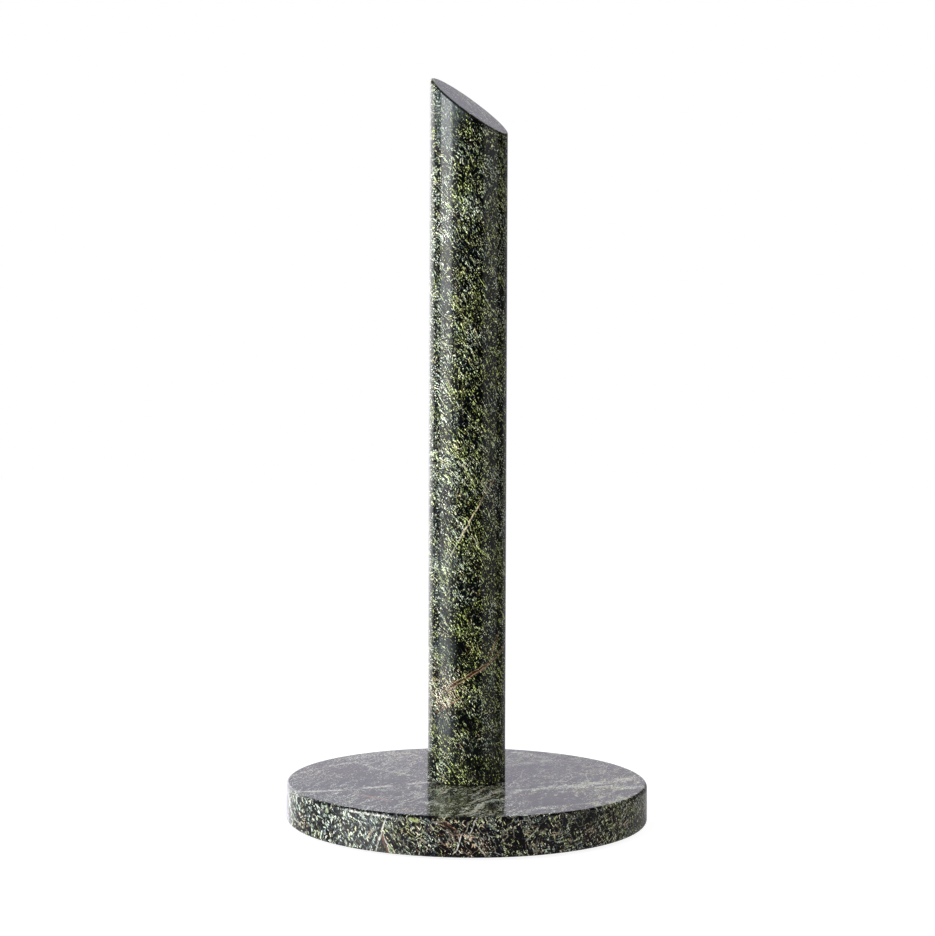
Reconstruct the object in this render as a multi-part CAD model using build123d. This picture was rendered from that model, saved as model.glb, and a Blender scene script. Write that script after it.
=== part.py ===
from build123d import *
import os
from math import cos, radians, sin, sqrt, tan

# Free-standing paper towel holder of polished stone. A round post, cut off at a slant, stands on a
# round base. A threaded stud is bonded into the post, passes through the base and is drawn up by a
# nut and washers in a recess underneath. Rubber feet keep the stone off the worktop.
# Millimetres, +Z up. The origin is on the worktop, under the middle of the base, and the slant
# falls towards +X.

# Base
BASE_DIAMETER = 145.0
BASE_THICKNESS = 15.0
BASE_TOP_ROUND = 1.3
BASE_BOTTOM_ROUND = 1.0

# Post
POST_DIAMETER = 31.4
OVERALL_HEIGHT = 300.0  # worktop to the rounded tip of the slant
CUT_SLOPE = 39.0  # degrees, from level
CUT_EDGE_ROUND = 0.8
POST_FOOT_CHAMFER = 0.4

# Stud and the resin that bonds it into the post
STUD_DIAMETER = 6.0
STUD_EMBEDMENT = 42.0
STUD_END_CHAMFER = 0.8
STUD_PROUD = 0.3  # stud showing below the nut
RESIN_WALL = 1.0
RESIN_CAP = 3.0  # resin above the stud's end

# Washers and nut, from the roof of the recess down
FIBRE_WASHER_DIAMETER = 20.0
FIBRE_WASHER_THICKNESS = 1.0
FLAT_WASHER_DIAMETER = 18.0
FLAT_WASHER_THICKNESS = 1.6
FLAT_WASHER_EDGE = 0.25
SPRING_WASHER_DIAMETER = 11.8
SPRING_WASHER_THICKNESS = 1.6
SPRING_WASHER_SLIT = 0.9
SPRING_WASHER_SLIT_LEAN = 25.0  # degrees, from upright
NUT_ACROSS_FLATS = 10.0
NUT_HEIGHT = 3.2
NUT_FACE_DIAMETER = 9.0
NUT_CHAMFER_ANGLE = 30.0  # degrees, from level
NUT_COUNTERSINK = 0.4
NUT_SETBACK = 0.6  # nut's lower face above the underside of the base

# Clearances
BASE_HOLE_CLEARANCE = 0.3
WASHER_HOLE_CLEARANCE = 0.2
SPRING_WASHER_CLEARANCE = 0.1
NUT_CLEARANCE = 0.05
RECESS_CLEARANCE = 3.0  # room for a socket around the widest washer
RECESS_CHAMFER = 0.6
BASE_HOLE_CHAMFER = 0.4

# Feet
FOOT_DIAMETER = 12.0
FOOT_HEIGHT = 1.5
FOOT_TAPER = 10.0  # degrees, from upright
FOOT_ROUND = 0.4
FOOT_INSET = 16.5  # rim of the base to the middle of a foot
FOOT_DIRECTIONS = {
    "foot_front_left": -135.0,
    "foot_front_right": -45.0,
    "foot_rear_left": 135.0,
    "foot_rear_right": 45.0,
}

# Radii that follow from the sizes above
BASE_RADIUS = BASE_DIAMETER / 2
POST_RADIUS = POST_DIAMETER / 2
STUD_RADIUS = STUD_DIAMETER / 2
POST_BORE_RADIUS = STUD_RADIUS + RESIN_WALL
BASE_HOLE_RADIUS = STUD_RADIUS + BASE_HOLE_CLEARANCE
WASHER_HOLE_RADIUS = STUD_RADIUS + WASHER_HOLE_CLEARANCE
RECESS_RADIUS = max(FIBRE_WASHER_DIAMETER, FLAT_WASHER_DIAMETER) / 2 + RECESS_CLEARANCE
FOOT_CIRCLE_RADIUS = BASE_RADIUS - FOOT_INSET

# Heights that follow, from the worktop up
BASE_BOTTOM = FOOT_HEIGHT
BASE_TOP = BASE_BOTTOM + BASE_THICKNESS
NUT_BOTTOM = BASE_BOTTOM + NUT_SETBACK
SPRING_WASHER_BOTTOM = NUT_BOTTOM + NUT_HEIGHT
FLAT_WASHER_BOTTOM = SPRING_WASHER_BOTTOM + SPRING_WASHER_THICKNESS
FIBRE_WASHER_BOTTOM = FLAT_WASHER_BOTTOM + FLAT_WASHER_THICKNESS
RECESS_ROOF = FIBRE_WASHER_BOTTOM + FIBRE_WASHER_THICKNESS
STUD_BOTTOM = NUT_BOTTOM - STUD_PROUD
STUD_TOP = BASE_TOP + STUD_EMBEDMENT
POST_BORE_TOP = STUD_TOP + RESIN_CAP

STANDING = (Align.CENTER, Align.CENTER, Align.MIN)


def upright(radius, bottom, top):
    """Round bar about the vertical axis, between two heights."""
    return Pos(0, 0, bottom) * Cylinder(radius, top - bottom, align=STANDING)


def lowest_edge(solid):
    return solid.edges().sort_by(Axis.Z)[0]


def highest_edge(solid):
    return solid.edges().sort_by(Axis.Z)[-1]


def circle_edges(solid, radius):
    """The whole-circle edges of one radius about the vertical axis, lowest first."""
    circles = solid.edges().filter_by(GeomType.CIRCLE).sort_by(Axis.Z)
    return [edge for edge in circles if abs(edge.radius - radius) < 1e-6]


def make_base_disc():
    """Round slab with softened rims, a hole for the stud and a recess below for nut and washers."""
    slab = upright(BASE_RADIUS, BASE_BOTTOM, BASE_TOP)
    slab = fillet(highest_edge(slab), BASE_TOP_ROUND)
    slab = fillet(lowest_edge(slab), BASE_BOTTOM_ROUND)
    slab -= upright(BASE_HOLE_RADIUS, BASE_BOTTOM, BASE_TOP)
    slab -= upright(RECESS_RADIUS, BASE_BOTTOM, RECESS_ROOF)
    slab = chamfer(circle_edges(slab, RECESS_RADIUS)[0], RECESS_CHAMFER)
    return chamfer(circle_edges(slab, BASE_HOLE_RADIUS)[-1], BASE_HOLE_CHAMFER)


def make_post():
    """Round bar cut off at a slant, with the oval edge of the cut rounded and a blind bore below."""
    slope = radians(CUT_SLOPE)
    # The round takes the sharp tip down, so the cut is set that much higher.
    tip_loss = CUT_EDGE_ROUND * (tan(slope) + 1 / cos(slope) - 1)
    sharp_tip = OVERALL_HEIGHT + tip_loss
    cut_plane = Plane(origin=(-POST_RADIUS, 0, sharp_tip), z_dir=(sin(slope), 0, cos(slope)))
    bar = upright(POST_RADIUS, BASE_TOP, sharp_tip)
    bar = chamfer(lowest_edge(bar), POST_FOOT_CHAMFER)
    bar = split(bar, bisect_by=cut_plane, keep=Keep.BOTTOM)
    oval_face = bar.faces().sort_by(Axis.Z)[-1]
    bar = fillet(oval_face.edges(), CUT_EDGE_ROUND)
    return bar - upright(POST_BORE_RADIUS, BASE_TOP, POST_BORE_TOP)


def make_stud():
    """Threaded rod, at its full diameter, with chamfered ends."""
    rod = upright(STUD_RADIUS, STUD_BOTTOM, STUD_TOP)
    return chamfer([lowest_edge(rod), highest_edge(rod)], STUD_END_CHAMFER)


def make_resin_sleeve(stud):
    """Cured resin that fills the post's bore around and above the stud."""
    return upright(POST_BORE_RADIUS, BASE_TOP, POST_BORE_TOP) - stud


def make_fibre_washer():
    """Soft ring between steel and stone."""
    blank = upright(FIBRE_WASHER_DIAMETER / 2, FIBRE_WASHER_BOTTOM, RECESS_ROOF)
    return blank - upright(WASHER_HOLE_RADIUS, FIBRE_WASHER_BOTTOM, RECESS_ROOF)


def make_flat_washer():
    """Wide stamped washer, with its lower rim softened by the die."""
    blank = upright(FLAT_WASHER_DIAMETER / 2, FLAT_WASHER_BOTTOM, FIBRE_WASHER_BOTTOM)
    blank = fillet(lowest_edge(blank), FLAT_WASHER_EDGE)
    return blank - upright(WASHER_HOLE_RADIUS, FLAT_WASHER_BOTTOM, FIBRE_WASHER_BOTTOM)


def make_spring_washer():
    """Split lock washer, pressed flat, with a leaning slit through one side."""
    hole_radius = STUD_RADIUS + SPRING_WASHER_CLEARANCE
    ring = upright(SPRING_WASHER_DIAMETER / 2, SPRING_WASHER_BOTTOM, FLAT_WASHER_BOTTOM)
    ring -= upright(hole_radius, SPRING_WASHER_BOTTOM, FLAT_WASHER_BOTTOM)
    reach = SPRING_WASHER_DIAMETER
    middle = (SPRING_WASHER_BOTTOM + FLAT_WASHER_BOTTOM) / 2
    saw = Box(reach, SPRING_WASHER_SLIT, reach, align=(Align.MIN, Align.CENTER, Align.CENTER))
    return ring - Pos(0, 0, middle) * Rot(SPRING_WASHER_SLIT_LEAN, 0, 0) * saw


def make_hex_nut():
    """Thin hexagon nut with chamfered corners and a countersunk bore."""
    corner_radius = NUT_ACROSS_FLATS / sqrt(3)
    face_radius = NUT_FACE_DIAMETER / 2
    corner_drop = (corner_radius - face_radius) * tan(radians(NUT_CHAMFER_ANGLE))
    half_section = Polyline(
        (0, NUT_BOTTOM),
        (face_radius, NUT_BOTTOM),
        (corner_radius, NUT_BOTTOM + corner_drop),
        (corner_radius, SPRING_WASHER_BOTTOM - corner_drop),
        (face_radius, SPRING_WASHER_BOTTOM),
        (0, SPRING_WASHER_BOTTOM),
        close=True,
    )
    turned_blank = revolve(make_face(Plane.XZ * half_section), Axis.Z)
    hexagon = RegularPolygon(corner_radius, side_count=6)
    nut = turned_blank & (Pos(0, 0, NUT_BOTTOM) * extrude(hexagon, NUT_HEIGHT))
    bore_radius = STUD_RADIUS + NUT_CLEARANCE
    nut -= upright(bore_radius, NUT_BOTTOM, SPRING_WASHER_BOTTOM)
    return chamfer(circle_edges(nut, bore_radius), NUT_COUNTERSINK)


def make_foot(direction):
    """Low round pad that narrows downwards, bonded to the underside of the base."""
    top_radius = FOOT_DIAMETER / 2
    tread_radius = top_radius - FOOT_HEIGHT * tan(radians(FOOT_TAPER))
    pad = Cone(tread_radius, top_radius, FOOT_HEIGHT, align=STANDING)
    pad = fillet(lowest_edge(pad), FOOT_ROUND)
    return Rot(0, 0, direction) * Pos(FOOT_CIRCLE_RADIUS, 0, 0) * pad


stud = make_stud()
pieces = {
    "base_disc": make_base_disc(),
    "post": make_post(),
    "stud": stud,
    "resin_sleeve": make_resin_sleeve(stud),
    "fibre_washer": make_fibre_washer(),
    "flat_washer": make_flat_washer(),
    "spring_washer": make_spring_washer(),
    "hex_nut": make_hex_nut(),
}
for foot_name, foot_direction in FOOT_DIRECTIONS.items():
    pieces[foot_name] = make_foot(foot_direction)

os.makedirs("parts", exist_ok=True)
for node_name, piece in pieces.items():
    export_step(piece, f"parts/{node_name}.step")
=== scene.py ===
from math import ceil, cos, pi, radians, sin, tan

import bpy
from mathutils import Matrix, Vector


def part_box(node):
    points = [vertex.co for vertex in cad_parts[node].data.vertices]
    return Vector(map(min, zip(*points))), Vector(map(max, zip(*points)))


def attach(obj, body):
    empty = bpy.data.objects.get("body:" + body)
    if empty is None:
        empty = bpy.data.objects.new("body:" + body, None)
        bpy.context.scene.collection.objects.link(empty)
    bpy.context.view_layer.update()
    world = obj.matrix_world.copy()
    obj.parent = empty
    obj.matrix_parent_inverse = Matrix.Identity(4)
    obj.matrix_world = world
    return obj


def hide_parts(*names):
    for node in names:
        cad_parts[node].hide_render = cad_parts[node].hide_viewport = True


# A paper towel holder of polished dark green stone, seen from the photograph's place.
# Lengths named here are millimetres in the part's own frame, and MM turns them into metres.

MM = 0.001

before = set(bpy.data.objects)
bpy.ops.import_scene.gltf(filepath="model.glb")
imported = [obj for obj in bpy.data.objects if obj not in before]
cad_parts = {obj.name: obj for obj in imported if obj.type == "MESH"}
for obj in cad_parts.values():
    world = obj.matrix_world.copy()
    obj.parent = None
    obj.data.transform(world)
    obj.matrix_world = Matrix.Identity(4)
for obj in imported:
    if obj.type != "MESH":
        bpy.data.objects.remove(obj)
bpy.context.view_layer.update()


def node_box(node):
    """Lowest and highest corner of a CAD node, in millimetres."""
    low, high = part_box(node)
    return Vector(low) / MM, Vector(high) / MM


# Sizes that the frame gives
BASE_LOW, BASE_HIGH = node_box("base_disc")
POST_LOW, POST_HIGH = node_box("post")
STUD_LOW, STUD_HIGH = node_box("stud")
BASE_RADIUS = BASE_HIGH.x
BASE_BOTTOM, BASE_TOP = BASE_LOW.z, BASE_HIGH.z
POST_RADIUS = POST_HIGH.x
POST_FOOT = POST_LOW.z
STUD_RADIUS = STUD_HIGH.x
BORE_RADIUS, _, BORE_TOP = node_box("resin_sleeve")[1]
RECESS_ROOF = node_box("fibre_washer")[1].z

# Sizes of the stone that the boxes don't show
BASE_TOP_ROUND = 1.3
BASE_BOTTOM_ROUND = 1.0
RECESS_RADIUS = 13.0
RECESS_CHAMFER = 0.6
BASE_HOLE_RADIUS = 3.3
BASE_HOLE_CHAMFER = 0.4
POST_FOOT_CHAMFER = 0.4
CUT_SLOPE = radians(39.0)
CUT_ROUND = 0.8

# The slanted cut, and where it meets the post's axis: the round takes the sharp tip down, so the cut lies
# that much higher
CUT_NORMAL = Vector((sin(CUT_SLOPE), 0, cos(CUT_SLOPE)))
TIP_LOSS = CUT_ROUND * (tan(CUT_SLOPE) + 1 / cos(CUT_SLOPE) - 1)
SHARP_TIP = POST_HIGH.z + TIP_LOSS
CUT_MIDDLE = Vector((0, 0, SHARP_TIP - tan(CUT_SLOPE) * POST_RADIUS))

# The photograph's camera
FRAME_LONG_SIDE = 936  # pixels
FOCAL_PIXELS = 1768.8
SENSOR = 36.0
CAMERA_AZIMUTH = radians(28.456)
CAMERA_DISTANCE = 713.4
CAMERA_HEIGHT = 154.8
CAMERA_PITCH = radians(1.014)
CAMERA_ROLL = radians(0.197)
CAMERA_YAW = radians(1.538)  # the lens points this far left of the object, and the frame is shifted back

# Directions as the photograph shows them
TO_CAMERA = Vector((sin(CAMERA_AZIMUTH), -cos(CAMERA_AZIMUTH), 0))
TO_RIGHT = Vector((cos(CAMERA_AZIMUTH), sin(CAMERA_AZIMUTH), 0))
UP = Vector((0, 0, 1))


def seen(right, up, away):
    """Unit vector from its parts to the right, upwards and away from the camera."""
    return (TO_RIGHT * right + UP * up - TO_CAMERA * away).normalized()


# Node building


class Nodes:
    """A node tree, and short calls that add and link its nodes."""

    def __init__(self, tree):
        self.tree = tree

    def put(self, socket, value):
        """Feeds a socket with another node's output, or sets it."""
        if isinstance(value, bpy.types.NodeSocket):
            self.tree.links.new(value, socket)
        elif isinstance(value, Vector):
            socket.default_value = tuple(value)
        else:
            socket.default_value = value

    def add(self, kind, *inputs, **settings):
        """A new node with its first sockets fed in order."""
        node = self.tree.nodes.new(kind)
        for key, value in settings.items():
            setattr(node, key, value)
        for socket, value in zip(node.inputs, inputs):
            self.put(socket, value)
        return node

    def math(self, operation, *values, clamp=False):
        return self.add("ShaderNodeMath", *values, operation=operation, use_clamp=clamp).outputs[0]

    def product(self, first, *others):
        for other in others:
            first = self.math("MULTIPLY", first, other)
        return first

    def total(self, *terms):
        """Sum of (value, weight) pairs."""
        result = 0.0
        for value, weight in terms:
            result = self.math("MULTIPLY_ADD", value, weight, result)
        return result

    def range(self, value, low, high, to_low=0.0, to_high=1.0, smooth=False):
        """A value carried from one range to another and held at its ends."""
        kind = "SMOOTHSTEP" if smooth else "LINEAR"
        node = self.add("ShaderNodeMapRange", value, low, high, to_low, to_high, interpolation_type=kind)
        return node.outputs["Result"]

    def vector(self, operation, *values):
        return self.add("ShaderNodeVectorMath", *values, operation=operation).outputs["Vector"]

    def along(self, point, direction):
        """How far a point lies along a direction."""
        return self.add("ShaderNodeVectorMath", point, direction, operation="DOT_PRODUCT").outputs["Value"]

    def distance(self, point, centre):
        return self.add("ShaderNodeVectorMath", point, centre, operation="DISTANCE").outputs["Value"]

    def scaled(self, point, factor):
        node = self.add("ShaderNodeVectorMath", point, operation="SCALE")
        node.inputs["Scale"].default_value = factor
        return node.outputs["Vector"]


class Shader(Nodes):
    """One material: a principled surface and the textures that feed it."""

    def __init__(self, name, **surface):
        self.material = bpy.data.materials.new(name)
        self.material.use_nodes = True
        super().__init__(self.material.node_tree)
        self.surface = self.tree.nodes["Principled BSDF"]
        self.feed(**surface)

    def feed(self, **sockets):
        """Feeds the surface's sockets, named with _ for a space."""
        for socket, value in sockets.items():
            self.put(self.surface.inputs[socket.replace("_", " ")], value)
        return self.material

    def place(self):
        """The point on the piece, in millimetres of the part's frame."""
        return self.scaled(self.add("ShaderNodeTexCoord").outputs["Object"], 1 / MM)

    def shifted(self, point, offset):
        return self.vector("ADD", point, Vector(offset))

    def grains(self, point, normal, thickness, length):
        """Texture space of flat grains: thin along the normal, long across it."""
        node = self.add("ShaderNodeMapping", vector_type="TEXTURE")
        self.put(node.inputs["Vector"], point)
        node.inputs["Rotation"].default_value = normal.to_track_quat("X", "Z").to_euler()
        node.inputs["Scale"].default_value = (thickness, length, length)
        return node.outputs[0]

    def noise(self, point, size, detail=2.0, roughness=0.5, output="Fac"):
        node = self.add("ShaderNodeTexNoise")
        self.put(node.inputs["Vector"], point)
        node.inputs["Scale"].default_value = 1 / size
        node.inputs["Detail"].default_value = detail
        node.inputs["Roughness"].default_value = roughness
        return node.outputs[output]

    def warped(self, point, size, reach, detail=1.0):
        """The point pushed about by soft noise, by up to about reach."""
        push = self.noise(point, size, detail, output="Color")
        centred = self.vector("SUBTRACT", push, Vector((0.5, 0.5, 0.5)))
        return self.vector("ADD", point, self.scaled(centred, 2 * reach))

    def ramp(self, value, *stops):
        """Colour ramp through (position, colour) stops."""
        node = self.add("ShaderNodeValToRGB", value)
        bands = node.color_ramp.elements
        while len(bands) < len(stops):
            bands.new(1.0)
        for band, (position, colour) in zip(bands, stops):
            band.position = position
            band.color = (*colour, 1.0)
        return node.outputs["Color"]

    def mix(self, share, first, second):
        """Two colours mixed. The node's sockets 6 and 7 and its output 2 are the ones for colours."""
        node = self.add("ShaderNodeMix", data_type="RGBA")
        self.put(node.inputs["Factor"], share)
        for socket, colour in ((node.inputs[6], first), (node.inputs[7], second)):
            self.put(socket, (*colour, 1.0) if isinstance(colour, tuple) else colour)
        return node.outputs[2]

    def bump(self, height, depth):
        """Feeds the surface's normal with a height field, depth in millimetres."""
        node = self.add("ShaderNodeBump")
        node.inputs["Distance"].default_value = depth * MM
        self.put(node.inputs["Height"], height)
        self.feed(Normal=node.outputs[0])


# Places on the stone


def on_post(direction, height):
    """Point on the post's wall, from its direction in degrees and its height."""
    return Vector((POST_RADIUS * cos(radians(direction)), POST_RADIUS * sin(radians(direction)), height))


def on_rim(direction, height):
    """Point on the base's wall."""
    return Vector((BASE_RADIUS * cos(radians(direction)), BASE_RADIUS * sin(radians(direction)), height))


def on_top(right, away):
    """Point on the base's upper face, from where the photograph shows it."""
    return TO_RIGHT * right - TO_CAMERA * away + UP * BASE_TOP


def across_top(first, last):
    """Corners of an upright sheet between two points of the base's upper face."""
    middle = (first + last) / 2
    return first, middle, middle - UP


def across_rim(first, last):
    """Corners of a sheet between two points of the base's wall, running inwards."""
    middle = (first + last) / 2
    return first, middle, Vector((0, 0, middle.z))


# Stone

POLISH_IOR = 1.55


def patch(shader, point, centre, reach):
    """Share of a soft round patch, 1 in its middle and 0 at its reach."""
    return shader.range(shader.distance(point, centre), 0.25 * reach, reach, 1.0, 0.0, smooth=True)


def zone_terms(shader, point, zones):
    """Patches with their weights, from zones of a middle, a reach and a weight."""
    return [(patch(shader, point, middle, reach), weight) for middle, reach, weight in zones]


def vein(shader, point, corners, aside, width, reach):
    """Share of a thin sheet set aside from three points, 1 in its middle and 0 a width away, as far as its
    reach."""
    first, middle, last = corners
    normal = (middle - first).cross(last - first).normalized()
    offset = shader.math("SUBTRACT", shader.along(point, normal), normal.dot(middle) + aside)
    across = shader.range(shader.math("ABSOLUTE", offset), 0.3 * width, width, 1.0, 0.0, smooth=True)
    near = shader.range(shader.distance(point, middle), 0.6 * reach, reach, 1.0, 0.0, smooth=True)
    return shader.product(across, near)


def veined(shader, colour, point, place, veins):
    """Paints sheets over a colour, each broken up by fine noise. A vein has its three corners, how far it
    is set aside, its width, reach, share and tone."""
    broken = shader.range(shader.noise(place, 0.9, 2.0), 0.40, 0.54, 0.15, 1.0)
    for corners, aside, width, reach, share, tone in veins:
        sheet = vein(shader, point, corners, aside, width, reach)
        colour = shader.mix(shader.product(sheet, share, broken), colour, tone)
    return colour


def strokes(shader, point, normal, thickness, length):
    """Short flat grains scattered at random: how far in a point lies in one, and three numbers of that
    grain's own."""
    node = shader.add("ShaderNodeTexVoronoi", voronoi_dimensions="3D", feature="F1")
    shader.put(node.inputs["Vector"], shader.grains(point, normal, thickness, length))
    node.inputs["Scale"].default_value = 1.0
    own = shader.add("ShaderNodeSeparateColor", node.outputs["Color"])
    inside = shader.range(node.outputs["Distance"], 0.52, 0.40, smooth=True)
    return inside, own.outputs[0], own.outputs[1], own.outputs[2]


def felt(shader, place, sets, lean, contrast, grit, crowding, paling, warming, ground, palettes):
    """Dark ground matted with short pale strokes, crowded in patches that lean one way. Each set of strokes
    has its normal, thickness, length, lift and share, and each stroke takes one of three palettes."""
    bent = shader.warped(shader.warped(place, 9.0, 1.8), 1.3, 0.18)
    specks = shader.range(shader.noise(place, 0.32, 0.0), 0.36, 0.62, *grit)
    drift = shader.grains(shader.warped(shader.shifted(place, (31, 7, 11)), 14.0, 5.0), lean, 0.6, 1.5)
    patches = shader.noise(drift, 7.0, 4.0, 0.62)
    broad = shader.noise(shader.shifted(drift, (3, 57, 21)), 20.0, 2.0)
    uneven = shader.total((patches, 1.0), (broad, 0.60), (1.0, -0.80))
    crowd = shader.total((uneven, contrast), (1.0, -0.04), *crowding)
    tint = shader.noise(shader.shifted(place, (71, 17, 5)), 9.0, 3.0, 0.6)
    colour = shader.ramp(shader.noise(drift, 3.0, 4.0), *ground)
    green, pale, tan_brown = palettes
    for number, (normal, thickness, length, lift, share) in enumerate(sets):
        moved = shader.shifted(bent, (50 * number, 0, 0))
        inside, bright, own, rare = strokes(shader, moved, normal, thickness, length)
        level = shader.total((bright, 1.0), (crowd, 1.0), (lift, 1.0))
        to_pale = shader.range(shader.total((own, 0.6), (tint, 2.0), *paling), 1.08, 1.58)
        stroke = shader.mix(to_pale, shader.ramp(level, *green), shader.ramp(level, *pale))
        warm = shader.range(shader.total((rare, 1.0), *warming), 0.84, 0.92)
        stroke = shader.mix(warm, stroke, shader.ramp(level, *tan_brown))
        colour = shader.mix(shader.product(inside, share), colour, stroke)
    return shader.vector("MULTIPLY", colour, specks)


# The post's stone: its strokes, then the colours of its ground and of the three kinds of stroke
POST_STROKES = (
    (seen(-0.78, 0.56, 0.28), 0.25, 1.00, 0.0, 1.0),
    (seen(0.82, 0.47, 0.33), 0.23, 1.30, 0.0, 1.0),
    (seen(0.84, 0.50, 0.22), 0.24, 4.5, -0.24, 1.0),
)
POST_GROUND = (
    (0.30, (0.0004, 0.0010, 0.0016)),
    (0.55, (0.0020, 0.0034, 0.0046)),
    (0.75, (0.006, 0.009, 0.010)),
)
POST_GREEN = (
    (0.38, (0.0003, 0.0006, 0.0010)),
    (0.54, (0.0035, 0.005, 0.006)),
    (0.62, (0.135, 0.165, 0.050)),
    (0.73, (0.60, 0.74, 0.175)),
    (0.90, (0.90, 0.99, 0.50)),
)
POST_PALE = (
    (0.38, (0.0003, 0.0007, 0.0014)),
    (0.54, (0.0035, 0.005, 0.008)),
    (0.62, (0.122, 0.165, 0.145)),
    (0.73, (0.57, 0.70, 0.53)),
    (0.90, (0.92, 0.99, 0.85)),
)
POST_TAN = (
    (0.36, (0.003, 0.002, 0.002)),
    (0.52, (0.030, 0.018, 0.011)),
    (0.62, (0.22, 0.15, 0.07)),
    (0.73, (0.66, 0.54, 0.32)),
    (0.90, (0.97, 0.90, 0.74)),
)
# Colour of the painted shade along the cut's rounded edge and at the post's foot
POST_PAINTED_EDGE_SHADE = (0.006, 0.005, 0.004)
# Colour of the painted highlight on the tip of the slanted cut
POST_TIP_HIGHLIGHT = (0.80, 0.74, 0.56)

# Round zones of the post where strokes crowd or thin out: middle, reach and how much
POST_ZONES = (
    (on_post(-58, 288), 17, -0.14),
    (on_post(-66, 279), 9, -0.09),
    (on_post(-72, 267), 9, 0.07),
    (on_post(-58, 256), 12, -0.06),
    (on_post(-122, 236), 9, 0.16),
    (on_post(-102, 226), 9, -0.12),
    (on_post(-62, 226), 8, -0.10),
    (on_post(-74, 210), 9, 0.13),
    (on_post(-46, 213), 9, -0.08),
    (on_post(-86, 192), 12, 0.07),
    (on_post(-48, 185), 8, -0.06),
    (on_post(-56, 170), 10, -0.07),
    (on_post(-94, 146), 12, 0.12),
    (on_post(-112, 118), 14, -0.08),
    (on_post(-45, 115), 10, -0.14),
    (on_post(-62, 115), 7, 0.12),
    (on_post(-68, 103), 9, 0.04),
    (on_post(-92, 80), 12, -0.14),
    (on_post(-40, 86), 11, 0.06),
    (on_post(-66, 68), 10, -0.12),
    (on_post(-108, 64), 9, -0.10),
    (on_post(-118, 24), 7, -0.14),
    (on_post(-97, 24), 7, 0.08),
    (on_post(-60, 24), 10, -0.07),
    (on_post(-45, 19), 9, -0.09),
    (on_post(-20, 20), 8, -0.12),
)

# Spots along the post's left highlight that a thin grey-blue mist fills in, partly the stone's tone and
# partly a painted highlight: middle, reach and share
MIST_AND_SHEEN_BLUE = (0.096, 0.118, 0.130)
POST_MIST_AND_SHEEN = (
    (on_post(-97, 286), 13, 0.8),
    (on_post(-100, 273), 9, 0.5),
    (on_post(-103, 212), 8, 0.35),
    (on_post(-101, 106), 10, 0.45),
    (on_post(-106, 92), 8, 0.35),
    (on_post(-100, 70), 8, 0.5),
    (on_post(-94, 61), 5, 0.4),
    (on_post(-101, 40), 8, 0.45),
)


def post_veins():
    """Lines that can be followed on the post in the photograph."""
    rust_core = (on_post(7.0, 70.8), on_post(-61.5, 59.7), on_post(-81.8, 56.3))
    rust_tail = (on_post(7.0, 70.8), on_post(-15.0, 67.5), on_post(-57.9, 59.2))
    rust_branch = (on_post(-10.8, 75.1), on_post(-17.0, 71.8), on_post(-23.7, 68.3))
    red_line = (on_post(-81.9, 49.5), on_post(-99.6, 46.8), on_post(-125.9, 44.1))
    tan_line = (on_post(-19.3, 138.6), on_post(-57.8, 121.4), on_post(-89.8, 106.5))
    tan_upper = (on_post(-19.3, 138.6), on_post(-40.0, 129.8), on_post(-57.8, 121.4))
    tan_lower = (on_post(-57.8, 121.4), on_post(-78.0, 112.2), on_post(-89.8, 106.5))
    return (
        (rust_tail, 0.35, 0.28, 11, 0.9, (0.48, 0.31, 0.21)),
        (rust_tail, -0.35, 0.26, 11, 0.8, (0.42, 0.27, 0.19)),
        (rust_core, 0.55, 0.26, 13, 0.75, (0.52, 0.32, 0.19)),
        (rust_core, -0.60, 0.24, 12, 0.6, (0.52, 0.36, 0.22)),
        (rust_core, 0.0, 0.50, 11, 1.0, (0.050, 0.012, 0.007)),
        (rust_branch, 0.0, 0.32, 6, 0.9, (0.42, 0.21, 0.12)),
        (red_line, 0.0, 0.34, 11, 0.9, (0.26, 0.11, 0.07)),
        (tan_upper, 0.0, 0.30, 16, 1.0, (0.36, 0.23, 0.13)),
        (tan_lower, 0.0, 0.34, 13, 0.8, (0.56, 0.58, 0.38)),
        (tan_line, 0.0, 0.36, 9, 1.0, (0.85, 0.72, 0.48)),
    )


def misted_and_sheened(shader, colour, point, place):
    """The post's colour with its spots of mist, which is thin, uneven and partly a painted highlight."""
    thin = shader.range(shader.noise(place, 1.2, 2.0), 0.38, 0.60, 0.3, 1.0)
    for spot, share in zone_terms(shader, point, POST_MIST_AND_SHEEN):
        colour = shader.mix(shader.product(spot, share, thin), colour, MIST_AND_SHEEN_BLUE)
    return colour


def cut_edge_painted_shade(shader, place):
    """Share of the painted dark reflection along the rounded edge of the slanted cut, short of
    its tip."""
    below = shader.math("SUBTRACT", CUT_NORMAL.dot(CUT_MIDDLE), shader.along(place, CUT_NORMAL))
    starts = shader.range(below, 0.03, 0.15)
    ends = shader.range(below, 0.9, 0.5, 0.0, 0.85, smooth=True)
    off_tip = shader.range(shader.along(place, TO_RIGHT), -13.8, -12.8, 0.15, 1.0)
    return shader.product(starts, ends, off_tip)


def foot_painted_shade(shader, place):
    """Share of the painted shade on the chamfer at the post's foot, where it meets the base."""
    return shader.range(shader.along(place, UP), POST_FOOT + 0.75, POST_FOOT + 0.45, 0.0, 0.9, smooth=True)


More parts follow.
